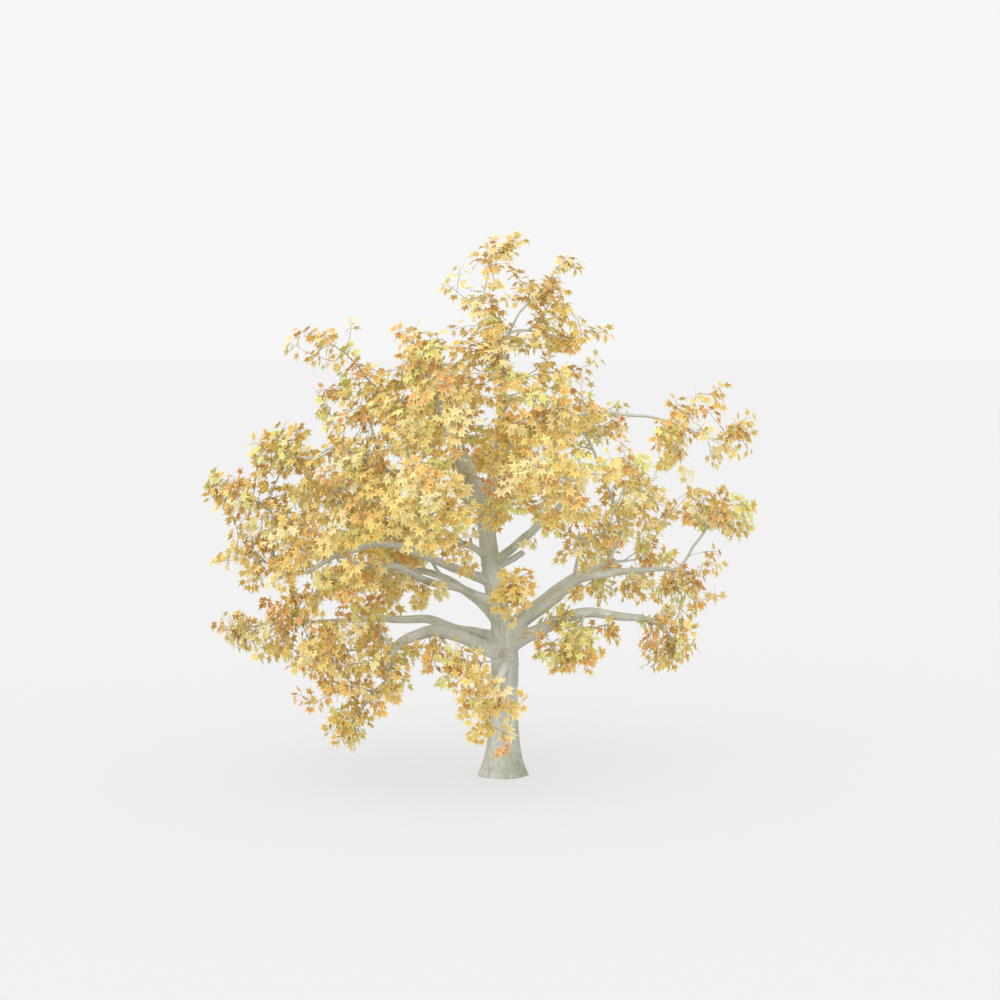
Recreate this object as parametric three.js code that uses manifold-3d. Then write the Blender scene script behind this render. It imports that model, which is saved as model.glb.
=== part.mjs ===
import * as THREE from 'three';
import { mergeVertices } from 'three/addons/utils/BufferGeometryUtils.js';
import Module from 'manifold-3d';

// An open-grown maple tree in autumn leaf, cut flat at ground level.
// Millimetres, +Z up. +X and -X are the two broad sides of the crown, and -Y is its front.
// The origin is the middle of the flat cut under the trunk.

const wasm = await Module();
wasm.setup();

// ---------------------------------------------------------------- driving dimensions

const UP = new THREE.Vector3(0, 0, 1);
const FIT_GAP = 0.5; // clearance between neighbouring solids
const LEAN = 330; // how far the stem sways to -X on its way up
const FLARE = { radius: 215, height: 300, lobes: 5, lobeDepth: 0.07, lobeTurn: 0.7 }; // root flare

// Stations of the trunk: height, sway in shares of LEAN, set back, and radius without the flare.
const TRUNK_STATIONS = [
  { height: 0, sway: 0, back: 0, radius: 285 },
  { height: 900, sway: 0.05, back: 0, radius: 268 },
  { height: 1750, sway: 0.1, back: 0, radius: 248 },
  { height: 2250, sway: 0.12, back: -10, radius: 262 },
  { height: 2700, sway: 0, back: 0, radius: 208 },
  { height: 3250, sway: -0.32, back: 20, radius: 198 },
  { height: 3800, sway: -0.6, back: 30, radius: 186 },
  { height: 4400, sway: -0.87, back: 40, radius: 172 },
  { height: 4950, sway: -1, back: 50, radius: 152 },
  { height: 5500, sway: -0.55, back: 40, radius: 96 },
  { height: 6000, sway: -0.25, back: 20, radius: 84 },
  { height: 6700, sway: 0, back: 0, radius: 72 },
  { height: 7900, sway: 0.1, back: 0, radius: 48 },
];
const TRUNK_SIDES = 14;
const TRUNK_RINGS = 22;
const RING_CROWDING = 1.35; // above 1, rings crowd towards the ground, where the flare curves most

const LIMB_SIDES = 6;
const LIMB_RINGS = 6;

// Main limbs. Each leaves the trunk at a height (or another limb at a share of its length), runs out
// on a compass heading (0 is +X, 90 is the back) that swings by `swing` degrees, climbs by `rise` at
// its tip, and bows up by `arch` at the share `peak` of its length, or half way where none is given.
// `girth` is its radius at the foot and at the tip, and it ends at the face of the mass `into`.
const LIMBS = [
  { name: 'bough_left_low_front', from: 2230, heading: 203, swing: 6, run: 2200, rise: 260,
    arch: 430, peak: 0.62, girth: [150, 84], into: 'leaves_low_left_hanging' },
  { name: 'bough_left_low', from: 2480, heading: 178, swing: -4, run: 3450, rise: 300,
    arch: 270, girth: [112, 46], into: 'leaves_low_left_tip' },
  { name: 'bough_right_low', from: 2330, heading: 352, swing: 8, run: 2900, rise: 480,
    arch: 460, girth: [145, 54], into: 'leaves_right_drooping' },
  { name: 'bough_right_middle', from: 2450, heading: 8, swing: 2, run: 3200, rise: 1270,
    arch: 600, girth: [125, 42], into: 'leaves_right_lower_tip' },
  { name: 'bough_front_low', from: 2200, heading: 274, swing: -6, run: 2500, rise: -240,
    arch: 220, girth: [108, 50], into: 'leaves_front_skirt' },
  { name: 'bough_back_left', from: 2750, heading: 128, swing: 8, run: 3100, rise: 900,
    arch: 300, girth: [105, 48], into: 'leaves_back_low_left' },
  { name: 'bough_back_right', from: 2620, heading: 46, swing: 0, run: 3300, rise: 1150,
    arch: 220, girth: [100, 46], into: 'leaves_back_low_right' },
  { name: 'bough_left_middle', from: 3200, heading: 198, swing: 14, run: 2850, rise: 880,
    arch: 90, girth: [92, 52], into: 'leaves_left_front' },
  { name: 'bough_left_arched', from: 3560, heading: 184, swing: 2, run: 3600, rise: 60,
    arch: 720, peak: 0.6, girth: [98, 40], into: 'leaves_left_lower_tip' },
  { name: 'bough_front_left', from: 3950, heading: 232, swing: 10, run: 2650, rise: 1040,
    arch: 80, girth: [72, 38], into: 'leaves_front_left' },
  { name: 'bough_front_right', from: 3860, heading: 318, swing: -10, run: 2650, rise: 1680,
    arch: 80, girth: [92, 44], into: 'leaves_front_right' },
  { name: 'bough_back', from: 4250, heading: 92, swing: 0, run: 2900, rise: 1000,
    arch: 200, girth: [84, 44], into: 'leaves_back' },
  { name: 'bough_left_upper', from: 4880, heading: 180, swing: 6, run: 2500, rise: 640,
    arch: 380, girth: [78, 38], into: 'leaves_left_high' },
  { name: 'leader_left', from: 4820, heading: 176, swing: 0, run: 1060, rise: 2680,
    arch: -220, girth: [118, 60], into: 'leaves_upper_left_dome' },
  { name: 'bough_right_upper', from: 5850, heading: 4, swing: 0, run: 3300, rise: 600,
    arch: 560, girth: [58, 28], into: 'leaves_right_high' },
  { name: 'branch_right_middle', on: 'bough_right_middle', from: 0.4, heading: 30, swing: 0, run: 160,
    rise: 800, arch: 0, girth: [46, 34], into: 'leaves_right_inner' },
  { name: 'sawn_stub_right', from: 3700, heading: 350, swing: 0, run: 620, rise: 380,
    arch: 70, girth: [48, 40] },
];

// Foliage masses: middle and half sizes across (X), deep (Y) and tall (Z).
const MASSES = [
  { name: 'leaves_low_left_tip', at: [-3900, -200, 2850], half: [760, 880, 650] },
  { name: 'leaves_low_left_front', at: [-2950, -1300, 2450], half: [880, 900, 680] },
  { name: 'leaves_low_left_hanging', at: [-2080, -1350, 2050], half: [640, 620, 520] },
  { name: 'leaves_low_left_drop', at: [-2760, -1200, 1150], half: [360, 340, 440], fine: false },
  { name: 'leaves_left_outlier', at: [-4850, 200, 2680], half: [380, 380, 360], fine: false },
  { name: 'leaves_under_left', at: [-880, -1450, 2230], half: [480, 400, 380], fine: false },
  { name: 'leaves_front_skirt', at: [-170, -2450, 1700], half: [560, 480, 640] },
  { name: 'leaves_front_clump', at: [160, -1300, 3550], half: [230, 260, 470], fine: false },
  { name: 'leaves_under_right', at: [1180, -900, 2420], half: [650, 540, 400], fine: false },
  { name: 'leaves_right_drooping', at: [3080, 0, 2560], half: [470, 500, 700], fine: false },
  { name: 'leaves_back_low_left', at: [-2400, 2600, 3300], half: [980, 920, 680], fine: false },
  { name: 'leaves_back_low_right', at: [2400, 2600, 3700], half: [980, 920, 600], fine: false },
  { name: 'leaves_left_tip', at: [-4320, 0, 5020], half: [820, 980, 520] },
  { name: 'leaves_far_left', at: [-5230, 0, 5270], half: [270, 300, 290], fine: false },
  { name: 'leaves_left_lower_tip', at: [-4260, 0, 3980], half: [860, 980, 660] },
  { name: 'leaves_left_front', at: [-2900, -2100, 4400], half: [940, 920, 820] },
  { name: 'leaves_left_back', at: [-3000, 2300, 4750], half: [1050, 1050, 850], fine: false },
  { name: 'leaves_left_inner', at: [-1950, 1100, 4450], half: [880, 850, 660], fine: false },
  { name: 'leaves_front_left', at: [-1450, -2900, 5150], half: [880, 850, 680] },
  { name: 'leaves_front_right', at: [1000, -2700, 5600], half: [880, 850, 660] },
  { name: 'leaves_right_inner', at: [1780, -200, 4450], half: [1050, 900, 460] },
  { name: 'leaves_right_middle', at: [2450, -900, 5650], half: [760, 850, 680] },
  { name: 'leaves_right_tip', at: [3980, 0, 4780], half: [660, 780, 420], fine: false },
  { name: 'leaves_right_lower_tip', at: [3500, 200, 3680], half: [640, 680, 540], fine: false },
  { name: 'leaves_right_back', at: [2700, 2400, 5000], half: [1050, 1000, 680], fine: false },
  { name: 'leaves_back', at: [-50, 3400, 5250], half: [1350, 980, 820], fine: false },
  { name: 'leaves_left_shoulder', at: [-3880, -200, 6000], half: [640, 900, 460], fine: false },
  { name: 'leaves_left_high', at: [-2620, -800, 5950], half: [880, 1050, 720] },
  { name: 'leaves_front_left_high', at: [-1350, -1700, 6500], half: [840, 800, 620] },
  { name: 'leaves_upper_left', at: [-2480, 500, 7000], half: [920, 1050, 480] },
  { name: 'leaves_right_high', at: [3600, 0, 6280], half: [880, 1050, 760] },
  { name: 'leaves_right_inner_high', at: [900, -900, 6750], half: [840, 1000, 620] },
  { name: 'leaves_back_right_high', at: [1600, 1900, 6600], half: [920, 1000, 650], fine: false },
  { name: 'leaves_back_left_high', at: [-1300, 2200, 6700], half: [1080, 980, 680], fine: false },
  { name: 'leaves_upper_left_dome', at: [-1420, -500, 7720], half: [660, 950, 500] },
  { name: 'leaves_column', at: [-150, 300, 7780], half: [680, 1150, 500] },
  { name: 'leaves_right_top', at: [1050, 300, 8080], half: [820, 1050, 540] },
  { name: 'leaves_top_left', at: [-280, -150, 8880], half: [580, 700, 460] },
  { name: 'leaves_top_right', at: [780, 200, 8960], half: [440, 480, 250], fine: false },
  { name: 'leaves_top_tuft', at: [10, 0, 9740], half: [280, 270, 250], fine: false },
  { name: 'leaves_top_tuft_right', at: [1130, 0, 9450], half: [270, 260, 260], fine: false },
  { name: 'leaves_upper_left_outer', at: [-3280, -200, 7960], half: [740, 700, 580], fine: false },
];
// How uneven a mass is: two waves over its surface, each with a size as a share of the half sizes,
// its turns along X, Y and Z, and how far each mass's own seed shifts it along and across.
const BROAD_WAVE = { size: 0.14, turns: [2.4, 2.9, 0], shifts: [1.7, 0.6] };
const SHORT_WAVE = { size: 0.1, turns: [2.6, 3.3, 3.9], shifts: [2.9, -1.3] };

const FINISHES = {
  bark: { color: 0xb4b29c, roughness: 0.85, metalness: 0 },
  leaf: { color: 0xcda96a, roughness: 0.6, metalness: 0 },
};

// ------------------------------------------------------------------ solids and cuts

// A closed manifold solid from a three.js geometry, welded on position alone.
function solidOf(geometry) {
  const bare = geometry.clone();
  bare.deleteAttribute('normal');
  bare.deleteAttribute('uv');
  const welded = mergeVertices(bare, 1e-4);
  return new wasm.Manifold(new wasm.Mesh({
    numProp: 3,
    vertProperties: new Float32Array(welded.attributes.position.array),
    triVerts: new Uint32Array(welded.index.array),
  }));
}

function geometryOf(solid) {
  const mesh = solid.getMesh();
  const geometry = new THREE.BufferGeometry();
  geometry.setAttribute('position', new THREE.BufferAttribute(mesh.vertProperties, 3));
  geometry.setIndex(new THREE.BufferAttribute(mesh.triVerts, 1));
  return geometry;
}

function cutAway(solid, cutters) {
  return cutters.reduce((left, cutter) => left.subtract(cutter), solid);
}

// ----------------------------------------------------------------------- the trunk

const trunkLine = new THREE.CatmullRomCurve3(
  TRUNK_STATIONS.map((s) => new THREE.Vector3(s.sway * LEAN, s.back, s.height)),
);

// The centre line's point and the radius at a height, between the two stations around it.
function trunkAt(height) {
  const last = TRUNK_STATIONS.length - 1;
  const next = Math.max(1, TRUNK_STATIONS.findIndex((s, i) => s.height >= height || i === last));
  const [low, high] = [TRUNK_STATIONS[next - 1], TRUNK_STATIONS[next]];
  const share = (height - low.height) / (high.height - low.height);
  const point = trunkLine.getPoint((next - 1 + share) / last);
  point.z = height;
  return { point, radius: THREE.MathUtils.lerp(low.radius, high.radius, share) };
}

function trunkSolid(extra) {
  const top = TRUNK_STATIONS.at(-1).height;
  const column = new THREE.CylinderGeometry(1, 1, 1, TRUNK_SIDES, TRUNK_RINGS);
  const spot = column.attributes.position;
  for (let i = 0; i < spot.count; i += 1) {
    const height = top * (spot.getY(i) + 0.5) ** RING_CROWDING;
    const { point, radius } = trunkAt(height);
    const fade = Math.exp(-height / FLARE.height);
    const around = Math.atan2(-spot.getZ(i), spot.getX(i));
    const lobe = 1 + FLARE.lobeDepth * fade * Math.cos(FLARE.lobes * around + FLARE.lobeTurn);
    const reach = (radius + FLARE.radius * fade) * lobe + extra;
    spot.setXYZ(i, point.x + reach * spot.getX(i), point.y - reach * spot.getZ(i), height);
  }
  return solidOf(column);
}

// ------------------------------------------------------------------------ the limbs

// A limb's centre line: u runs from 0 at its foot to 1 at its tip.
function limbPoint(limb, start, u) {
  const heading = THREE.MathUtils.degToRad(limb.heading + limb.swing * u);
  const lateness = Math.log(0.5) / Math.log(limb.peak ?? 0.5);
  return new THREE.Vector3(
    start.x + limb.run * u * Math.cos(heading),
    start.y + limb.run * u * Math.sin(heading),
    start.z + limb.rise * u + limb.arch * Math.sin(Math.PI * u ** lateness),
  );
}

function limbStart(limb) {
  if (!limb.on) return trunkAt(limb.from).point;
  const parent = LIMBS.find((other) => other.name === limb.on);
  return limbPoint(parent, limbStart(parent), limb.from);
}

// A tapering round limb: a unit cylinder bent along the centre line.
function limbSolid(limb, extra) {
  const start = limbStart(limb);
  const rod = new THREE.CylinderGeometry(1, 1, 1, LIMB_SIDES, LIMB_RINGS);
  const spot = rod.attributes.position;
  const step = 0.01;
  for (let i = 0; i < spot.count; i += 1) {
    const u = spot.getY(i) + 0.5;
    const centre = limbPoint(limb, start, u);
    const [behind, ahead] = [Math.max(u - step, 0), Math.min(u + step, 1)];
    const along = limbPoint(limb, start, ahead).sub(limbPoint(limb, start, behind)).normalize();
    const side = new THREE.Vector3().crossVectors(along, UP).normalize();
    const up = new THREE.Vector3().crossVectors(side, along);
    const reach = THREE.MathUtils.lerp(limb.girth[0], limb.girth[1], u) + extra;
    centre.addScaledVector(side, reach * spot.getX(i)).addScaledVector(up, reach * spot.getZ(i));
    spot.setXYZ(i, centre.x, centre.y, centre.z);
  }
  return solidOf(rod);
}

// ----------------------------------------------------------------------- the leaves

function wave({ size, turns, shifts }, seed, x, y, z) {
  const along = Math.sin(turns[0] * x + turns[2] * z + shifts[0] * seed);
  const across = Math.cos(turns[1] * y + shifts[1] * seed);
  return size * along * across;
}

// An uneven ball: every direction reaches out by its own share, and no two masses are alike.
// A mass with `fine` false has fewer, larger facets.
function massSolid(mass, seed, extra) {
  const ball = new THREE.IcosahedronGeometry(1, mass.fine === false ? 1 : 2);
  const spot = ball.attributes.position;
  for (let i = 0; i < spot.count; i += 1) {
    const [x, y, z] = [spot.getX(i), spot.getY(i), spot.getZ(i)];
    const reach = 1 + wave(BROAD_WAVE, seed, x, y, z) + wave(SHORT_WAVE, seed, x, y, z);
    spot.setXYZ(
      i,
      mass.at[0] + (mass.half[0] + extra) * reach * x,
      mass.at[1] + (mass.half[1] + extra) * reach * y,
      mass.at[2] + (mass.half[2] + extra) * reach * z,
    );
  }
  return solidOf(ball);
}

// ------------------------------------------------------------------------ assembly

const tree = new THREE.Group();

function place(name, solid, finish) {
  const material = new THREE.MeshStandardMaterial(FINISHES[finish]);
  const mesh = new THREE.Mesh(geometryOf(solid), material);
  mesh.name = name;
  tree.add(mesh);
}

place('trunk', trunkSolid(0), 'bark');

// Every solid is cut clear of the ones before it: limbs of the trunk and of earlier limbs, and each
// limb ends at the face of the mass that it enters.
const wood = [trunkSolid(FIT_GAP)];
for (const limb of LIMBS) {
  const cutters = [...wood];
  const target = MASSES.findIndex((mass) => mass.name === limb.into);
  if (target >= 0) cutters.push(massSolid(MASSES[target], target, 2 * FIT_GAP));
  place(limb.name, cutAway(limbSolid(limb, 0), cutters), 'bark');
  wood.push(limbSolid(limb, FIT_GAP));
}

const leafy = [];
MASSES.forEach((mass, seed) => {
  place(mass.name, cutAway(massSolid(mass, seed, 0), [...wood, ...leafy]), 'leaf');
  leafy.push(massSolid(mass, seed, 2 * FIT_GAP));
});

export default tree;
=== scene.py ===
import math

import bmesh
import bpy
import numpy as np
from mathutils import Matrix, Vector, noise
from mathutils.bvhtree import BVHTree


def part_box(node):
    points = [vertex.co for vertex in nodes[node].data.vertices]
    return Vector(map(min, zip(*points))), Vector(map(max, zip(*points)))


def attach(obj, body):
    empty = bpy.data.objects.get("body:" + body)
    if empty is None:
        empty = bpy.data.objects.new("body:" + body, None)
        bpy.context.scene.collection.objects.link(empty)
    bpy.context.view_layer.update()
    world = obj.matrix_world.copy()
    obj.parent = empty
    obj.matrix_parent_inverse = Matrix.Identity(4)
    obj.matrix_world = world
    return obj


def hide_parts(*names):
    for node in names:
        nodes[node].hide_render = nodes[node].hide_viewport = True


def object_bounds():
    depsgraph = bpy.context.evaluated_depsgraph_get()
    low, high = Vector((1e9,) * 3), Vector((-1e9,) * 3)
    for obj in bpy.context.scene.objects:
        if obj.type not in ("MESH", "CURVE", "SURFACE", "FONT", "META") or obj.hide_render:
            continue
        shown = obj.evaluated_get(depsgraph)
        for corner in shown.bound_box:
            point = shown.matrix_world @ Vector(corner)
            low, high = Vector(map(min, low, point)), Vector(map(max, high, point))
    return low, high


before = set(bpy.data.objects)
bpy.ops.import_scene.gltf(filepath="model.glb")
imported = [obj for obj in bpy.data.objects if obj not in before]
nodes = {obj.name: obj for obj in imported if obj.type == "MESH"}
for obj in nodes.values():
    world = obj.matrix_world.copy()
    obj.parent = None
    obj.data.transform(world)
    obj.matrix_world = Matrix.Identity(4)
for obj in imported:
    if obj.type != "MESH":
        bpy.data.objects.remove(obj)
cad_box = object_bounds()

# --- Camera ---
# A long lens some 38 m in front of the tree, level with its upper crown and looking a little down on it,
# so that the ground shows as a pale plane behind the trunk's foot.
LENS_LENGTH = 75
FILM_WIDTH = 36
SIGHT = 40_000
CAMERA_PLACE = (-0.05, -38.1, 7.64)
LOOKS_DOWN = 3.84
scene = bpy.context.scene
lens = bpy.data.cameras.new("camera")
lens.lens = LENS_LENGTH
lens.sensor_width = FILM_WIDTH
lens.clip_end = SIGHT
camera = bpy.data.objects.new("camera", lens)
camera.location = CAMERA_PLACE
camera.rotation_euler = (math.radians(90 - LOOKS_DOWN), 0, 0)
scene.collection.objects.link(camera)
scene.camera = camera

# --- Studio floor and light ---
# A pale, matt studio floor that runs out to the horizon under an even white sky, with one very wide, weak
# lamp from the upper left. It isn't part of the tree.
SKY_WHITE = "#f6f6f6"
SKY_LIGHT = 1.24
FLOOR_GREY = "#828282"
FLOOR_GLOW = 0.583
FLOOR_HALF_WIDTH = 20_000
LAMP_STRENGTH = 0.9
LAMP_WIDTH = 80
LAMP_WHITE = (1, 0.99, 0.97)
LAMP_TILT = 66
LAMP_TURN = -32


def linear(colour):
    """An sRGB hex colour as the linear colour that a shader takes."""
    channels = [int(colour[i:i + 2], 16) / 255 for i in (1, 3, 5)]
    return (*[c / 12.92 if c <= 0.04045 else ((c + 0.055) / 1.055) ** 2.4 for c in channels], 1)


def add_node(tree, kind, settings, inputs):
    """A new shader node with these settings. Each input takes a plain value or another node's output."""
    node = tree.nodes.new(kind)
    for name, value in settings.items():
        setattr(node, name, value)
    for name, value in inputs.items():
        if isinstance(value, bpy.types.NodeSocket):
            tree.links.new(value, node.inputs[name])
        else:
            node.inputs[name].default_value = value
    return node


def new_material(name, colour, roughness):
    """A material with one Principled shader of that colour. Returns the material and the shader."""
    material = bpy.data.materials.new(name)
    material.use_nodes = True
    shader = material.node_tree.nodes["Principled BSDF"]
    shader.inputs["Base Color"].default_value = linear(colour)
    shader.inputs["Roughness"].default_value = roughness
    return material, shader


def new_object(name, mesh):
    piece = bpy.data.objects.new(name, mesh)
    scene.collection.objects.link(piece)
    return piece


floor_shape = bmesh.new()
bmesh.ops.create_grid(floor_shape, x_segments=1, y_segments=1, size=FLOOR_HALF_WIDTH)
floor_mesh = bpy.data.meshes.new("floor")
floor_shape.to_mesh(floor_mesh)
floor_shape.free()
# Matt paper without gloss. Its glow stands for the light that a white cove throws back.
floor_paper, floor_shader = new_material("matt white studio paper, lit from below", FLOOR_GREY, 0.9)
floor_shader.inputs["Specular IOR Level"].default_value = 0
floor_shader.inputs["Emission Color"].default_value = (1, 1, 1, 1)
floor_shader.inputs["Emission Strength"].default_value = FLOOR_GLOW
floor_mesh.materials.append(floor_paper)
new_object("floor", floor_mesh)

world = bpy.data.worlds.new("even white sky")
world.use_nodes = True
backdrop = world.node_tree.nodes["Background"]
backdrop.inputs["Color"].default_value = linear(SKY_WHITE)
glow = add_node(world.node_tree, "ShaderNodeBackground", {}, {"Color": (1, 1, 1, 1), "Strength": SKY_LIGHT})
ray = add_node(world.node_tree, "ShaderNodeLightPath", {}, {})
sky = add_node(world.node_tree, "ShaderNodeMixShader", {},
               {0: ray.outputs["Is Camera Ray"], 1: glow.outputs[0], 2: backdrop.outputs[0]})
world.node_tree.links.new(sky.outputs[0], world.node_tree.nodes["World Output"].inputs["Surface"])
scene.world = world
scene.view_settings.view_transform = "Standard"

lamp = bpy.data.lights.new("wide lamp", "SUN")
lamp.energy = LAMP_STRENGTH
lamp.angle = math.radians(LAMP_WIDTH)
lamp.color = LAMP_WHITE
lamp_object = bpy.data.objects.new("wide lamp", lamp)
lamp_object.rotation_euler = (math.radians(LAMP_TILT), 0, math.radians(LAMP_TURN))
scene.collection.objects.link(lamp_object)

# --- Trunk and boughs ---
# The living wood that the crown hangs on: a fluted, slightly leaning maple trunk and the boughs that leave
# it in smooth collars. It is green wood under thin, pale grey-green bark with shallow furrows that run along
# each limb. The CAD solids give every limb's line and thickness.
SEED = 20
VOXEL = 0.017
STEP = 0.06
LIMB_END_RADIUS = 0.02
WANDER = 0.11
WANDER_LENGTH = 0.55
FOOT_SPREAD = 1.16
FOOT_BELOW_CUT = 0.2
TRUNK_SAMPLES = 20_000
BOUGH_SAMPLES = 5_000
TRUNK_STATION = 0.3
BOUGH_STATION = 0.2
INTO_MASS = 1.25
BARK_ROUND = 1.06
COLLAR_SWELL = 0.46
COLLAR_LENGTH = 3.2
STUB_SWELL = 1.5
STUB_RISE = 0.1
WOOD_SMOOTHINGS = 7
SWELL_SIZE = (0.16, 0.16, 0.8)
SWELL_SHARE = 0.05
FURROW_SIZE = (0.026, 0.026, 0.2)
FURROW_DEPTH = 0.018
FURROWED_RADIUS = 0.25
RIDGE_MEAN = 0.6
GRAIN_APART = 7
TRUNK_AND_BOUGH_TRIANGLES = 180_000
BARK = "#bfc0b5"
BARK_LIT = "#d0d1c9"
BARK_DARK = "#98978b"
# The darker olive for the foot's right side, away from the lamp: partly a green tinge, partly painted shade.
BARK_GREEN = "#a9ad96"
BARK_FOOT_GREEN_SHADE = "#8f9273"
rng = np.random.default_rng(SEED)
noise.seed_set(SEED)
wood_names = [name for name in nodes if not name.startswith("leaves_")]
mass_names = [name for name in nodes if name.startswith("leaves_")]


def unit(vectors):
    return vectors / np.maximum(np.linalg.norm(vectors, axis=-1, keepdims=True), 1e-9)


def points_on(name, count):
    """Random points on a CAD node's faces, spread evenly over its area."""
    mesh = nodes[name].data
    mesh.calc_loop_triangles()
    places = np.empty(len(mesh.vertices) * 3)
    mesh.vertices.foreach_get("co", places)
    corners = np.empty(len(mesh.loop_triangles) * 3, int)
    mesh.loop_triangles.foreach_get("vertices", corners)
    a, b, c = places.reshape(-1, 3)[corners.reshape(-1, 3)].transpose(1, 0, 2)
    area = np.linalg.norm(np.cross(b - a, c - a), axis=1)
    pick = rng.choice(len(area), count, p=area / area.sum())
    along, across = rng.random((2, count, 1))
    outside = along + across > 1
    along, across = np.where(outside, 1 - along, along), np.where(outside, 1 - across, across)
    return a[pick] + along * (b - a)[pick] + across * (c - a)[pick]


def resample(line, radii, step):
    """The same line and radii with points every step metres."""
    travelled = np.concatenate([[0], np.cumsum(np.linalg.norm(np.diff(line, axis=0), axis=1))])
    stations = np.linspace(0, travelled[-1], max(3, int(travelled[-1] / step) + 1))
    spread = [np.interp(stations, travelled, line[:, axis]) for axis in range(3)]
    return np.column_stack(spread), np.interp(stations, travelled, radii)


def soften(values, rounds):
    """Each value drawn towards its neighbours, with both ends kept."""
    values = values.copy()
    for _ in range(rounds):
        values[1:-1] = values[1:-1] / 2 + (values[:-2] + values[2:]) / 4
    return values


def headings(line):
    return unit(np.gradient(line, axis=0))


def middle_line(points, measure, step):
    """The line through the middle of a limb and its radii, from points on its faces. measure tells how far
    along the limb each point lies."""
    stations = max(4, int((measure.max() - measure.min()) / step))
    share = (measure - measure.min()) / (measure.max() - measure.min())
    station = np.minimum((share * stations).astype(int), stations - 1)
    line = np.array([points[station == k].mean(0) for k in range(stations)])
    line = soften(line, 2)
    heading = headings(line)
    offset = points - line[station]
    across = offset - (offset * heading[station]).sum(1, keepdims=True) * heading[station]
    thickness = np.linalg.norm(across, axis=1)
    radii = np.array([np.percentile(thickness[station == k], 60) for k in range(stations)])
    return line, soften(radii, 2)


def curve_between(foot, leave, tip, arrive, steps):
    """Points on a smooth curve from foot to tip. leave and arrive are its directions there, with how far
    each one holds."""
    t = np.linspace(0, 1, steps + 1)[:, None]
    return (
        (1 - t) ** 3 * foot + 3 * (1 - t) ** 2 * t * (foot + leave)
        + 3 * (1 - t) * t ** 2 * (tip - arrive) + t ** 3 * tip
    )


def run_on(line, radii, target, end_radius):
    """The limb grown on past its CAD tip to the target, tapering to end_radius."""
    way = target - line[-1]
    length = np.linalg.norm(way)
    heading = unit(line[-1] - line[-3])
    steps = max(3, int(length / STEP))
    more = curve_between(line[-1], heading * length * 0.45, target, way * 0.25, steps)[1:]
    thinner = np.linspace(radii[-1], end_radius, steps + 1)[1:]
    return np.vstack([line, more]), np.concatenate([radii, thinner])


def middle_of(name):
    low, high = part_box(name)
    return np.array(low + high) / 2


def half_of(name):
    low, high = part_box(name)
    return np.array(high - low) / 2


trunk_points = points_on("trunk", TRUNK_SAMPLES)
trunk_line, trunk_radii = resample(*middle_line(trunk_points, trunk_points[:, 2], TRUNK_STATION), STEP)
trunk_top = middle_of("leaves_top_left")
limb_lines = {"trunk": run_on(trunk_line, trunk_radii, trunk_top, LIMB_END_RADIUS)}
for name in sorted(wood_names, key=lambda n: n.startswith("branch_")):
    if name == "trunk":
        continue
    parent_line, _ = limb_lines["bough_right_middle" if name == "branch_right_middle" else "trunk"]
    points = points_on(name, BOUGH_SAMPLES)
    gap = np.linalg.norm(points[:, None] - parent_line[None], axis=2)
    foot = points[gap.min(1) < np.percentile(gap.min(1), 5)].mean(0)
    line, radii = middle_line(points, np.linalg.norm(points - foot, axis=1), BOUGH_STATION)
    line, radii = line[1:], radii[1:]
    inside = line[0] - unit(line[1] - line[0]) * np.linalg.norm(parent_line - line[0], axis=1).min()
    root = parent_line[np.linalg.norm(parent_line - inside, axis=1).argmin()]
    line, radii = resample(np.vstack([root, line]), np.concatenate([radii[:1], radii]), STEP)
    line = soften(line, 12)
    travelled = np.arange(len(line)) * STEP
    wander = [noise.noise_vector(Vector(p) / WANDER_LENGTH) for p in line]
    line = line + WANDER * np.minimum(travelled / 0.8, 1)[:, None] * np.array(wander)
    collar = BARK_ROUND + COLLAR_SWELL * np.exp(-((travelled / (COLLAR_LENGTH * radii[0])) ** 2))
    radii = radii * collar
    if name == "sawn_stub_right":
        radii = radii * STUB_SWELL
        line = line + np.linspace(0, 1, len(line))[:, None] ** 2 * (0, 0, STUB_RISE)
    else:
        mass = min(mass_names, key=lambda n: np.linalg.norm((line[-1] - middle_of(n)) / half_of(n)))
        target = line[-1] + (middle_of(mass) - line[-1]) * INTO_MASS
        line, radii = run_on(line, radii, target, LIMB_END_RADIUS)
        line = np.vstack([line[:6], soften(line[6:], 10)])
    limb_lines[name] = (line, radii)


def tube_mesh(name, lines, sides):
    """One mesh of closed tapering tubes, one for each (line, radii)."""
    curve = bpy.data.curves.new(name, "CURVE")
    curve.dimensions = "3D"
    curve.bevel_depth = 1
    curve.bevel_resolution = sides // 2 - 2
    curve.use_fill_caps = True
    for line, radii in lines:
        spline = curve.splines.new("POLY")
        spline.points.add(len(line) - 1)
        spline.points.foreach_set("co", np.column_stack([line, np.ones(len(line))]).ravel())
        spline.points.foreach_set("radius", np.asarray(radii, float))
    holder = bpy.data.objects.new(name, curve)
    mesh = bpy.data.meshes.new_from_object(holder)
    bpy.data.objects.remove(holder)
    bpy.data.curves.remove(curve)
    mesh.name = name
    return mesh


def with_modifier(piece, kind, settings):
    """The piece's mesh with one modifier applied."""
    modifier = piece.modifiers.new(kind.lower(), kind)
    for name, value in settings.items():
        setattr(modifier, name, value)
    shown = piece.evaluated_get(bpy.context.evaluated_depsgraph_get())
    finished = bpy.data.meshes.new_from_object(shown)
    piece.modifiers.clear()
    old = piece.data
    piece.data = finished
    bpy.data.meshes.remove(old)


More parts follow.
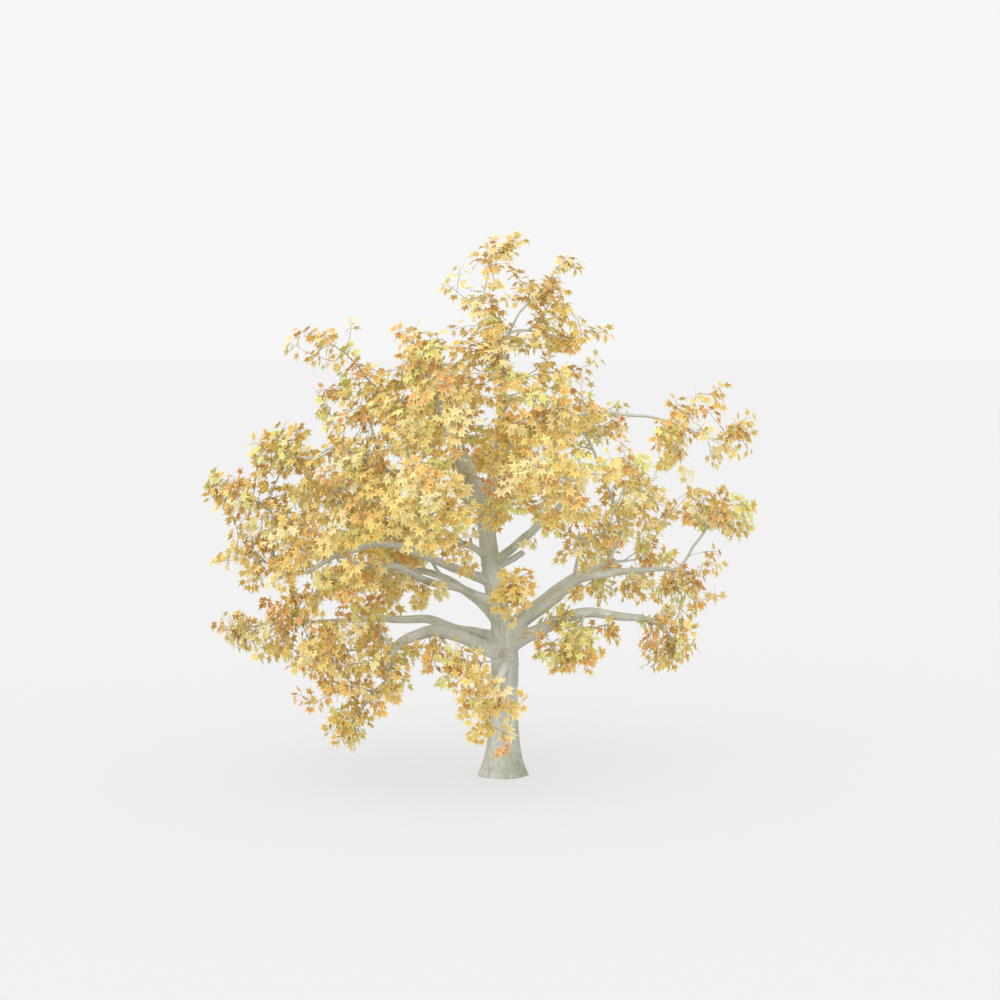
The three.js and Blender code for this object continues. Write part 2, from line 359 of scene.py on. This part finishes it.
def grain_of(places, lines):
    """Where each point lies on its limb, as if the limb were straightened to stand along Z: two metres
    across the limb and one along it. The second result is the limb's radius there."""
    nearest = np.full(len(places), np.inf)
    grain = np.zeros((len(places), 3))
    girth = np.zeros(len(places))
    for count, (line, radii) in enumerate(lines):
        heading = headings(line)
        side = np.zeros_like(line)
        side[0] = unit(np.cross(heading[0], (0.0, 1.0, 0.1)))
        for i in range(1, len(line)):
            side[i] = unit(side[i - 1] - (side[i - 1] * heading[i]).sum() * heading[i])
        reach = radii.max() * 2.2 + 0.05
        low, high = line.min(0) - reach, line.max(0) + reach
        close = np.flatnonzero(((places > low) & (places < high)).all(1))
        if not len(close):
            continue
        gap = np.linalg.norm(places[close][:, None] - line[None], axis=2) / radii
        station = gap.argmin(1)
        value = gap[np.arange(len(close)), station]
        better = value < nearest[close]
        close, station = close[better], station[better]
        nearest[close] = value[better]
        offset = places[close] - line[station]
        along = (offset * heading[station]).sum(1)
        rise = np.cross(heading[station], side[station])
        grain[close, 0] = (offset * side[station]).sum(1)
        grain[close, 1] = (offset * rise).sum(1)
        grain[close, 2] = station * STEP + along + GRAIN_APART * count
        girth[close] = radii[station]
    return grain, girth


def vertex_array(mesh, attribute="co"):
    values = np.empty(len(mesh.vertices) * 3)
    mesh.vertices.foreach_get(attribute, values)
    return values.reshape(-1, 3)


def add_vector_attribute(mesh, name, values):
    attribute = mesh.attributes.new(name, "FLOAT_VECTOR", "POINT")
    attribute.data.foreach_set("vector", values.astype(np.float32).ravel())


def drop_crumbs(shape):
    """Deletes what isn't joined to the foot, such as the crumbs that a remesh leaves at thin ends."""
    foot = min(shape.verts, key=lambda vertex: vertex.co.z)
    joined_on, waiting = {foot}, [foot]
    while waiting:
        for edge in waiting.pop().link_edges:
            fresh = set(edge.verts) - joined_on
            joined_on |= fresh
            waiting.extend(fresh)
    bmesh.ops.delete(shape, geom=[v for v in shape.verts if v not in joined_on], context="VERTS")


trunk_shape = bmesh.new()
trunk_shape.from_mesh(nodes["trunk"].data)
bmesh.ops.remove_doubles(trunk_shape, verts=trunk_shape.verts, dist=0.0005)
for vertex in trunk_shape.verts:
    if vertex.co.z < 0.001:
        vertex.co = (vertex.co.x * FOOT_SPREAD, vertex.co.y * FOOT_SPREAD, -FOOT_BELOW_CUT)
boughs_mesh = tube_mesh("boughs", [limb_lines[n] for n in limb_lines if n != "trunk"], 16)
wood_mesh = bpy.data.meshes.new("trunk_and_boughs")
trunk_shape.to_mesh(wood_mesh)
trunk_shape.free()
wood = new_object("trunk_and_boughs", wood_mesh)
with_modifier(wood, "SUBSURF", {"levels": 2, "render_levels": 2})
joined = bmesh.new()
joined.from_mesh(wood.data)
joined.from_mesh(boughs_mesh)
joined.to_mesh(wood.data)
joined.free()
with_modifier(wood, "REMESH", {"mode": "VOXEL", "voxel_size": VOXEL})
smooth = bmesh.new()
smooth.from_mesh(wood.data)
drop_crumbs(smooth)
for _ in range(WOOD_SMOOTHINGS):
    bmesh.ops.smooth_vert(smooth, verts=smooth.verts, factor=0.5,
                          use_axis_x=True, use_axis_y=True, use_axis_z=True)
cut = bmesh.ops.bisect_plane(smooth, geom=smooth.verts[:] + smooth.edges[:] + smooth.faces[:], dist=0.0001,
                             plane_co=(0, 0, 0), plane_no=(0, 0, -1), clear_outer=True)
rim = [e for e in cut["geom_cut"] if isinstance(e, bmesh.types.BMEdge)]
bmesh.ops.contextual_create(smooth, geom=rim)
smooth.to_mesh(wood.data)
smooth.free()

places = vertex_array(wood.data)
normals = vertex_array(wood.data, "normal")
grain, girth = grain_of(places, list(limb_lines.values()))
swell = np.array([noise.noise(Vector(p)) for p in grain / SWELL_SIZE])
furrow = np.array([noise.noise(Vector(p)) for p in grain / FURROW_SIZE])
ridge = 1 - 2 * np.abs(furrow)
height = SWELL_SHARE * girth * swell
height = height + FURROW_DEPTH * np.minimum(girth / FURROWED_RADIUS, 1) * (ridge - RIDGE_MEAN)
places = places + normals * height[:, None]
places[:, 2] = np.maximum(places[:, 2], 0)
wood.data.vertices.foreach_set("co", places.ravel())
wood.data.update()
triangles = sum(len(p.vertices) - 2 for p in wood.data.polygons)
if triangles > TRUNK_AND_BOUGH_TRIANGLES:
    with_modifier(wood, "DECIMATE", {"ratio": TRUNK_AND_BOUGH_TRIANGLES / triangles})
grain, girth = grain_of(vertex_array(wood.data), list(limb_lines.values()))
add_vector_attribute(wood.data, "grain", grain)
wood.data.shade_smooth()

# Dry outer bark: dull and without gloss, with darker streaks in the furrows, paler plates between them, and
# a darker olive green low down on the right, away from the lamp: partly a green tinge, partly painted shade.
bark, bark_shader = new_material("maple bark", BARK, 0.88)
tree = bark.node_tree
bark_grain = add_node(tree, "ShaderNodeAttribute", {"attribute_name": "grain"}, {}).outputs["Vector"]
place = add_node(tree, "ShaderNodeTexCoord", {}, {}).outputs["Object"]


def bark_noise(source, stretch, detail):
    """A noise in bark coordinates: stretch is how many patches there are in a metre, each way."""
    scaled = add_node(tree, "ShaderNodeVectorMath", {"operation": "MULTIPLY"}, {0: source, 1: stretch})
    return add_node(tree, "ShaderNodeTexNoise", {}, {"Vector": scaled.outputs[0], "Scale": 1,
                                                     "Detail": detail, "Roughness": 0.6}).outputs["Fac"]


def ramp(value, low, high):
    """0 where the value is at or under low, 1 at or over high."""
    inputs = {"Value": value, "From Min": low, "From Max": high}
    return add_node(tree, "ShaderNodeMapRange", {}, inputs).outputs[0]


def blend(factor, first, second):
    sides = [c if isinstance(c, bpy.types.NodeSocket) else linear(c) for c in (first, second)]
    mixed = add_node(tree, "ShaderNodeMix", {"data_type": "RGBA"}, {0: factor, 6: sides[0], 7: sides[1]})
    return mixed.outputs[2]


# Streaks some 26 mm wide and 250 mm long, plates of 200 by 600 mm, and a fine grain of 6 by 45 mm.
streaks = bark_noise(bark_grain, (38, 38, 4), 4)
patches = bark_noise(bark_grain, (5, 5, 1.6), 3)
fine = bark_noise(bark_grain, (160, 160, 22), 3)
colour = blend(ramp(patches, 0.35, 0.65), BARK, BARK_LIT)
colour = blend(ramp(bark_noise(place, (2.2, 2.2, 1.2), 2), 0.5, 0.75), colour, BARK_GREEN)
colour = blend(ramp(streaks, 0.54, 0.74), colour, BARK_DARK)
# Painted shade with a green tinge: low on the right side, away from the lamp, the bark turns a darker olive
# along the streaks.
across = add_node(tree, "ShaderNodeSeparateXYZ", {}, {0: place})
low_down = ramp(across.outputs["Z"], 1.5, 0.0)
shaded_side = ramp(across.outputs["X"], -0.1, 0.4)
times = {"operation": "MULTIPLY"}
shaded_foot = add_node(tree, "ShaderNodeMath", times, {0: low_down, 1: shaded_side}).outputs[0]
foot_green_and_shade = add_node(tree, "ShaderNodeMath", times, {0: shaded_foot, 1: ramp(streaks, 0.3, 0.6)}).outputs[0]
colour = blend(foot_green_and_shade, colour, BARK_FOOT_GREEN_SHADE)
tree.links.new(colour, bark_shader.inputs["Base Color"])
bump = add_node(tree, "ShaderNodeBump", {}, {"Strength": 0.5, "Distance": 0.004, "Height": fine})
tree.links.new(bump.outputs[0], bark_shader.inputs["Normal"])
wood.data.materials.clear()
wood.data.materials.append(bark)
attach(wood, "root")
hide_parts(*wood_names)

# --- Branches and twigs ---
# Inside each leaf mass the limbs go on as side branches, then twigs, down to the shoot that bears a spray of
# leaves. They are grown by one rule: every spray's place is reached, nearest first, by a shoot from the piece
# of wood that costs least in length and bend, and each branch is as thick as the sprays beyond it need.
SHOOT_RADIUS = 0.0048
FULL_SPACING = 0.3
SPARSE_SPACING = 0.35
COARSE_SPACING = 0.72
COARSE_DEPTH = 0.15
THINNER = 1.22
SMALL_MASS = 0.45
SMALL_SPACING = 0.27
TRIES = 14
HOLE_SIZE = 0.55
HOLLOW_DEPTH = 0.5
HOLLOW_SHARE = 0.45
BARE_TRUNK_TOP = 5.2
BARE_SHARE = 0.45
CLOSED_COST = 3.0
REACH_COST = 0.16
SHOOT_STEP = 0.09
BRANCH_RADIUS = 0.0125
GATE_LOW, GATE_HIGH = 3.0, 3.5
THIN = ("upper_left_outer", "right_tip", "top_", "left_lower_tip", "drop", "shoulder", "right_middle")
# Each opening is an ellipse on the upright plane through the trunk: its middle, X and Z, then its half width
# and half height. Leaves are kept out of it where Y is less than the last number.
OPENINGS = (
    ("right of the trunk, over the low boughs", 0.65, 3.75, 0.5, 0.45, 9),
    ("the sawn stub", 0.3, 4.0, 0.32, 0.3, 9),
    ("left of the trunk, between the low boughs", -0.7, 2.95, 0.45, 0.4, 9),
    ("under the left shoulder", -3.4, 6.2, 0.35, 0.3, 9),
    ("left of the dome", -2.35, 7.85, 0.35, 0.35, 9),
    ("far right, under the upper bough", 3.1, 5.4, 0.35, 0.3, 9),
    ("far right, over the low tips", 3.6, 4.45, 0.55, 0.3, 9),
    ("right of the leader", 2.0, 7.1, 0.6, 0.3, 9),
    ("far left, between the lower tiers", -4.9, 3.25, 0.55, 0.25, 9),
    ("the trunk, between the boughs", -0.1, 3.2, 0.38, 1.0, 0),
    ("the trunk, under the fork", 0.0, 2.1, 0.5, 0.42, 0),
    ("the right side of the foot", 0.75, 1.2, 0.42, 0.6, 0),
)
# Sprays that hang along a limb: from what share of its length, and at every how many points of its line.
HUNG_SPRAYS = (
    ("bough_right_middle", 0.18, 2),
    ("bough_right_low", 0.3, 5),
    ("bough_left_low", 0.45, 7),
    ("trunk", 0.68, 5),
    ("bough_left_low_front", 0.3, 4),
    ("bough_left_middle", 0.2, 5),
    ("bough_left_upper", 0.25, 5),
    ("bough_front_left", 0.3, 5),
    ("leader_left", 0.3, 6),
    ("bough_front_right", 0.3, 6),
)
HANG_SPREAD = (0.16, 0.2, 0.1)
HANG_FORWARD = 0.12
HANG_DOWN = (0.05, 0.35)
FRONT_LOW, FRONT_HIGH, FRONT_STEP = 4.4, 7.2, 0.12
FRONT_OF_TRUNK = -0.75
FRONT_SPREAD = (0.24, 0.25, 0.05)
STUB_HEIGHT = 4.8
ARCH_CLEARANCE = 0.18
CLUMP_TOP = 3.75
NEIGHBOURS = [(i, j, k) for i in (-1, 0, 1) for j in (-1, 0, 1) for k in (-1, 0, 1)]
place_of, heading_of, behind, reach_of, closed = [], [], [], [], []
shoots = []

for name, (line, radii) in limb_lines.items():
    along = np.arange(len(line)) / (len(line) - 1)
    place_of.extend(line)
    heading_of.extend(headings(line))
    behind.extend([-1] * len(line))
    reach_of.extend(0.5 * (1 - along))
    if name == "trunk":
        bare = line[:, 2] < BARE_TRUNK_TOP
    elif name == "sawn_stub_right":
        bare = np.ones(len(line), bool)
    else:
        bare = along < BARE_SHARE
    closed.extend(np.where(bare, CLOSED_COST, 0.0))


def seen(place):
    """Where a place shows on the upright plane through the trunk, for someone at the camera."""
    eye = np.array(camera.location)
    return eye + (place - eye) * eye[1] / (eye[1] - place[1])


def kept_clear(place):
    """Whether leaves there would close an opening or hide the arched bough."""
    shown = seen(place)
    if place[1] < 0.1 and np.linalg.norm((arch - shown)[:, [0, 2]], axis=1).min() < ARCH_CLEARANCE:
        return True
    return any(math.hypot((shown[0] - x) / wide, (shown[2] - z) / high) < 1 and place[1] < back
               for _, x, z, wide, high, back in OPENINGS)


arch = limb_lines["bough_left_arched"][0]
arch = np.array([seen(p) for p in arch[len(arch) * 2 // 5: len(arch) * 4 // 5]])


def places_in(name, spacing, margin, taken):
    """Adds random places in a leaf mass to taken, a grid of cells, at least spacing apart. margin is how far
    out of the CAD solid they may lie, thinning out as they go; a negative margin keeps them inside it."""
    mesh = nodes[name].data
    shape = BVHTree.FromPolygons([v.co for v in mesh.vertices], [p.vertices for p in mesh.polygons])
    low, high = (np.array(corner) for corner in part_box(name))
    low, high = low - max(margin, 0), high + max(margin, 0)
    low = np.maximum(low, np.array(cad_box[0]) + (0.15, 0.15, 0.75))
    high = np.minimum(high, np.array(cad_box[1]) - 0.15)
    margin = max(margin, -0.42 * half_of(name).min())
    small = half_of(name).min() < SMALL_MASS
    found = []
    places = rng.uniform(low, high, (int(np.prod(high - low) / spacing ** 3 * TRIES), 3))
    if small:
        places[0] = middle_of(name)
    for candidate in places:
        cell = tuple((candidate / spacing).astype(int))
        around = [p for i, j, k in NEIGHBOURS for p in taken.get((cell[0] + i, cell[1] + j, cell[2] + k), ())]
        if around and np.linalg.norm(np.array(around) - candidate, axis=1).min() < spacing:
            continue
        on_face, normal, _, distance = shape.find_nearest(Vector(candidate))
        outside = distance if (Vector(candidate) - on_face).dot(normal) > 0 else -distance
        if outside > margin:
            continue
        holes = np.interp(candidate[0], (-0.5, 2.0), (0.05, 0.15)) + 0.3 * min(outside + 0.25, 0.5)
        if not small and noise.noise(Vector(candidate) / HOLE_SIZE) < holes:
            continue
        if outside < -HOLLOW_DEPTH and rng.random() < HOLLOW_SHARE:
            continue
        if name == "leaves_front_clump":
            if seen(candidate)[2] > CLUMP_TOP:
                continue
        elif kept_clear(candidate):
            continue
        found.append(candidate)
        taken.setdefault(cell, []).append(candidate)
    return found


def grow_shoot(start, target, lift):
    """Adds a curved shoot from a point of the wood to the target. lift is how strongly it rises first."""
    foot, heading = place_of[start], heading_of[start]
    length = np.linalg.norm(target - foot)
    way = (target - foot) / max(length, 1e-6)
    leave = unit(0.4 * heading + way + (0, 0, lift))
    arrive = unit(way + 0.35 * unit(target * (1, 1, 0)) - (0, 0, 0.3 * lift + 0.12))
    steps = max(3, int(round(length / SHOOT_STEP)))
    line = curve_between(foot, leave * 0.36 * length, target, arrive * 0.33 * length, steps)
    line[1:-1] += rng.normal(0, 0.012 * min(length, 1.2), (steps - 1, 3))
    way_on = headings(line)
    path = [start]
    for i in range(1, steps + 1):
        path.append(len(place_of))
        place_of.append(line[i])
        heading_of.append(way_on[i])
        behind.append(path[-2])
        reach_of.append(reach_of[path[-2]] + length / steps)
        closed.append(0.0)
    shoots.append(path)


def grow_to(targets, lift, bend):
    """Grows a shoot to every target, always the cheapest one next."""
    targets = np.array(targets)
    cheapest = np.full(len(targets), np.inf)
    source = np.zeros(len(targets), int)
    waiting = np.ones(len(targets), bool)
    offered = 0
    while waiting.any():
        gap = targets[:, None] - np.array(place_of[offered:])[None]
        length = np.linalg.norm(gap, axis=2)
        turn = 1 - (gap * np.array(heading_of[offered:])).sum(2) / np.maximum(length, 1e-6)
        cost = length * (1 + bend * turn) + REACH_COST * np.array(reach_of[offered:])
        cost = cost + np.array(closed[offered:])
        best = cost.argmin(1)
        value = cost[np.arange(len(targets)), best]
        better = value < cheapest
        cheapest[better], source[better] = value[better], best[better] + offered
        offered = len(place_of)
        chosen = np.where(waiting, cheapest, np.inf).argmin()
        grow_shoot(source[chosen], targets[chosen], lift)
        waiting[chosen] = False


reached = [line[-1] for line, _ in limb_lines.values()]
unreached = [n for n in mass_names
             if min(np.linalg.norm((p - middle_of(n)) / half_of(n)) for p in reached) > 0.7]
trunk_gate = [i for i, p in enumerate(place_of[:len(limb_lines["trunk"][0])]) if GATE_LOW < p[2] < GATE_HIGH]
for i in trunk_gate:
    closed[i] = 0.0
grow_to([middle_of(n) for n in unreached], lift=0.3, bend=0.8)
for i in trunk_gate:
    closed[i] = CLOSED_COST
coarse_cells, spray_cells = {}, {}
coarse = [p for n in mass_names for p in places_in(n, COARSE_SPACING, -COARSE_DEPTH, coarse_cells)]
grow_to(coarse, lift=0.2, bend=0.6)
sprays = []
for name in mass_names:
    spacing = np.interp(middle_of(name)[0], (0.3, 1.6), (FULL_SPACING, SPARSE_SPACING))
    spacing *= THINNER if any(word in name for word in THIN) else 1
    if half_of(name).min() < SMALL_MASS:
        spacing, margin = (0.26, 0.08) if "front" in name else (SMALL_SPACING, 0.02)
    else:
        margin = 0.25 if name == "leaves_low_left_front" else 0.0 if "outer" in name else 0.14
    sprays += places_in(name, spacing, margin, spray_cells)
for name, start, every in HUNG_SPRAYS:
    line, radii = limb_lines[name]
    for station in range(int(len(line) * start), len(line), every):
        hang = rng.normal(0, 1, 3) * HANG_SPREAD
        hang = hang - (0, HANG_FORWARD, radii[station] + rng.uniform(*HANG_DOWN))
        if not kept_clear(line[station] + hang):
            sprays.append(line[station] + hang)
for height in np.arange(FRONT_LOW, FRONT_HIGH, FRONT_STEP):
    aside = -0.3 if height < STUB_HEIGHT else 0
    sprays.append(np.array((aside, FRONT_OF_TRUNK, height)) + rng.normal(0, 1, 3) * FRONT_SPREAD)
grow_to(sprays, lift=0.1, bend=0.45)

load = np.zeros(len(place_of))
for path in shoots:
    point = path[-1]
    while behind[point] >= 0:
        load[point] += 1
        point = behind[point]

branch_lines, twig_lines = [], []
all_places = np.array(place_of)
for path in shoots:
    line = all_places[path]
    if np.linalg.norm(line[-1] - line[0]) < SHOOT_RADIUS:
        continue
    radii = SHOOT_RADIUS * np.sqrt(load[path])
    radii[0] = radii[1] * 1.25
    radii = soften(radii, 2)
    radii[-1] = SHOOT_RADIUS * 0.8
    (branch_lines if radii[1] > BRANCH_RADIUS else twig_lines).append((line, radii))

branch_lines = [resample(line, radii, STEP) for line, radii in branch_lines]
branch_lines = [(soften(line, 3), radii) for line, radii in branch_lines]
branches = new_object("side_branches", tube_mesh("side_branches", branch_lines, 8))
add_vector_attribute(branches.data, "grain", grain_of(vertex_array(branches.data), branch_lines)[0])
branches.data.shade_smooth()
branches.data.materials.append(bark)
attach(branches, "root")

TWIG_BARK = "#aaa28a"
# Young bark is smooth, and a little browner than old bark.
twig_bark, _ = new_material("young maple twig bark", TWIG_BARK, 0.8)
twigs = new_object("twigs", tube_mesh("twigs", twig_lines, 6))
twigs.data.shade_smooth()
twigs.data.materials.append(twig_bark)
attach(twigs, "root")

# --- Leaves ---
# Thin five-lobed maple blades on their own stalks, in sprays of up to nine round each shoot's end. Each
# blade is one folded sheet, deeper gold round the veins and paler out in the lobes. A spray has one autumn
# tint, and the leaves of each tint are one mesh.
LEAVES_IN_SPRAY = 9
SURE_LEAVES = 6
SURE_SHARE, OUTER_SHARE = 0.95, 0.6
PAIR_GAP = 0.07
STALK_LENGTH = (0.08, 0.15)
STALK_RADIUS = 0.0022
STALK = "#b98a4e"
BLADE_SIZE = (0.122, 0.165)
BLADE_DROOP = 0.22
SHOULDER_TURN, SHOULDER_OUT = 11, 0.6
STRAY_TINTS = 0.45
TINTS = (
    ("golden", "#eadd8e", "#e6c879", 5),
    ("old gold", "#e7d779", "#e1bc67", 5),
    ("pale gold", "#ece4a6", "#e8d390", 4),
    ("lemon green", "#e0e292", "#ddd682", 4),
    ("amber", "#ead27c", "#e4b567", 4),
    ("russet", "#e6c17b", "#daa360", 2),
    ("brown gold", "#e4d482", "#dab96c", 5),
    ("straw", "#eae3af", "#e4d198", 2),
)
# The lobes' tips and the notches between them: angle from the middle lobe, and distance from the stalk.
LOBES = ((0, 1.0), (52, 0.92), (106, 0.62))
SINUS = ((27, 0.47), (80, 0.42), (150, 0.28))


def leaf_outline():
    """The blade's points and faces, with its stalk at the origin and its middle lobe along +Y. The faces
    round the hub come first: they are the vein-coloured heart of the leaf."""
    def at(angle, radius, lift):
        turn = math.radians(angle)
        x, y = radius * math.sin(turn), radius * math.cos(turn)
        return (x, y, lift - BLADE_DROOP * y ** 2)

    points, heart, lobes = [(0, 0, 0.0)], [], []
    notches = [at(-a, r, -0.05) for a, r in reversed(SINUS)] + [at(a, r, -0.05) for a, r in SINUS]
    tips = [(-a, r) for a, r in reversed(LOBES[1:])] + [(a, r) for a, r in LOBES]
    first_notch = len(points)
    points += notches
    for k, (angle, radius) in enumerate(tips):
        vein = len(points)
        points += [
            at(angle, radius * 0.5, 0.05),
            at(angle - SHOULDER_TURN, radius * SHOULDER_OUT, 0.01),
            at(angle, radius, 0.03 - 0.08 * radius),
            at(angle + SHOULDER_TURN, radius * SHOULDER_OUT, 0.01),
        ]
        left, right = first_notch + k, first_notch + k + 1
        heart += [(0, vein, left), (0, right, vein)]
        edge = (left, vein + 1, vein + 2, vein + 3, right)
        lobes += [(vein, edge[i + 1], edge[i]) for i in range(4)]
    return np.array(points), heart, lobes


leaf_points, heart_faces, lobe_faces = leaf_outline()
ends = np.array([path[-1] for path in shoots])
tips = all_places[ends]
way = np.array(heading_of)[ends]
way = unit(way + 0.15 * unit(tips * (1, 1, 0)) - (0, 0, 0.1))
flat_side = unit(np.cross(way, np.array((0.0, 0.0, 1.0)) + rng.normal(0, 0.3, way.shape)))
other_side = np.cross(way, flat_side)
outward = unit((tips - (0, 0, 5.0)) * (1, 1, 0.6))
patch = np.array([noise.noise(Vector(p) / 1.1) for p in tips])
order = np.argsort(np.argsort(patch + rng.normal(0, 0.28, len(tips)))) / len(tips)
weights = np.cumsum([t[3] for t in TINTS]) / sum(t[3] for t in TINTS)
tint_of = np.searchsorted(weights, order).clip(0, len(TINTS) - 1)
tint_of = np.where(rng.random(len(tips)) < STRAY_TINTS, rng.integers(0, len(TINTS), len(tips)), tint_of)

spine = all_places[[[path[len(path) - 1 - back] for back in range(4)] for path in shoots]]
spine_step = np.maximum(np.linalg.norm(spine[:, 0] - spine[:, 1], axis=1), 1e-6)


def on_shoot(back):
    """The places on the shoots that lie so far back from their tips, up to three steps."""
    station = np.minimum(back / spine_step, 2.99)
    step = station.astype(int)
    part = (station - step)[:, None]
    row = np.arange(len(spine))
    return spine[row, step] * (1 - part) + spine[row, step + 1] * part


stalk_foot, stalk_end, blade_way, blade_face, blade_size, blade_tint = [], [], [], [], [], []
for k in range(LEAVES_IN_SPRAY):
    kept = rng.random(len(tips)) < (SURE_SHARE if k < SURE_LEAVES else OUTER_SHARE)
    turn = (k % 2) * math.pi + (k // 2) * math.pi / 2 + rng.normal(0, 0.45, len(tips))
    sideways = np.cos(turn)[:, None] * flat_side + np.sin(turn)[:, None] * other_side
    foot = on_shoot(PAIR_GAP * (k // 2) + rng.uniform(0, 0.02, len(tips)))
    lean = unit((0.75 - 0.12 * (k // 2)) * way + sideways + (0, 0, -0.15) + rng.normal(0, 0.15, way.shape))
    end = foot + lean * rng.uniform(*STALK_LENGTH, len(tips))[:, None]
    drop = unit(lean + (0, 0, -0.5) + rng.normal(0, 0.25, way.shape))
    face = rng.normal(0, 0.34, way.shape) + (0, 0, 0.3) + 0.8 * outward
    face = unit(face - (face * drop).sum(1, keepdims=True) * drop)
    stalk_foot.append(foot[kept])
    stalk_end.append(end[kept])
    blade_way.append(drop[kept])
    blade_face.append(face[kept])
    blade_size.append(rng.uniform(*BLADE_SIZE, kept.sum()))
    blade_tint.append(tint_of[kept])
stalk_foot, stalk_end = np.vstack(stalk_foot), np.vstack(stalk_end)
blade_way, blade_face = np.vstack(blade_way), np.vstack(blade_face)
blade_size, blade_tint = np.concatenate(blade_size), np.concatenate(blade_tint)


def leaves_mesh(name, pick):
    """All the picked leaves as one mesh: blades with their heart and lobes, then stalks."""
    count = len(pick)
    across = np.cross(blade_way[pick], blade_face[pick])
    axes = np.stack([across, blade_way[pick], blade_face[pick]], axis=1) * blade_size[pick][:, None, None]
    cup = rng.uniform(0.5, 1.6, count)
    shaped = leaf_points[None] * np.stack([np.ones(count), np.ones(count), cup], axis=1)[:, None]
    blades = np.einsum("nij,njk->nik", shaped, axes) + stalk_end[pick][:, None]
    ring = np.array([(math.cos(a), math.sin(a)) for a in (0, 2.1, 4.2)]) * STALK_RADIUS
    rim = ring[None, :, :1] * across[:, None] + ring[None, :, 1:] * blade_face[pick][:, None]
    stalks = np.concatenate([stalk_foot[pick][:, None] + rim, stalk_end[pick][:, None] + rim], axis=1)
    places = np.concatenate([blades, stalks], axis=1)
    stalk_start = len(leaf_points)
    stalk_faces = []
    for i in range(3):
        a, b = stalk_start + i, stalk_start + (i + 1) % 3
        stalk_faces += [(a, b, b + 3), (a, b + 3, a + 3)]
    faces = np.array(heart_faces + lobe_faces + stalk_faces)
    kinds = np.array([0] * len(heart_faces) + [1] * len(lobe_faces) + [2] * len(stalk_faces))
    corners = (faces[None] + np.arange(count)[:, None, None] * places.shape[1]).reshape(-1)
    mesh = bpy.data.meshes.new(name)
    mesh.vertices.add(count * places.shape[1])
    mesh.vertices.foreach_set("co", places.ravel())
    mesh.loops.add(len(corners))
    mesh.loops.foreach_set("vertex_index", corners)
    mesh.polygons.add(count * len(faces))
    mesh.polygons.foreach_set("loop_start", np.arange(0, len(corners), 3))
    mesh.polygons.foreach_set("material_index", np.tile(kinds, count))
    mesh.update()
    mesh.validate()
    return mesh


# Turned leaves are thin and a little waxy, so they keep a faint satin gloss. Their stalks are browner.
stalk_skin, _ = new_material("maple leaf stalk", STALK, 0.6)
for number, (tint, lobe_colour, heart_colour, _) in enumerate(TINTS):
    name = "leaf_sprays_" + tint.replace(" ", "_")
    piece = new_object(name, leaves_mesh(name, np.flatnonzero(blade_tint == number)))
    for material in (new_material(f"maple leaf, {tint}, veins", heart_colour, 0.62)[0],
                     new_material(f"maple leaf, {tint}, lobes", lobe_colour, 0.62)[0], stalk_skin):
        piece.data.materials.append(material)
    piece.data.shade_flat()
    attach(piece, "root")
    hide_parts(*mass_names)
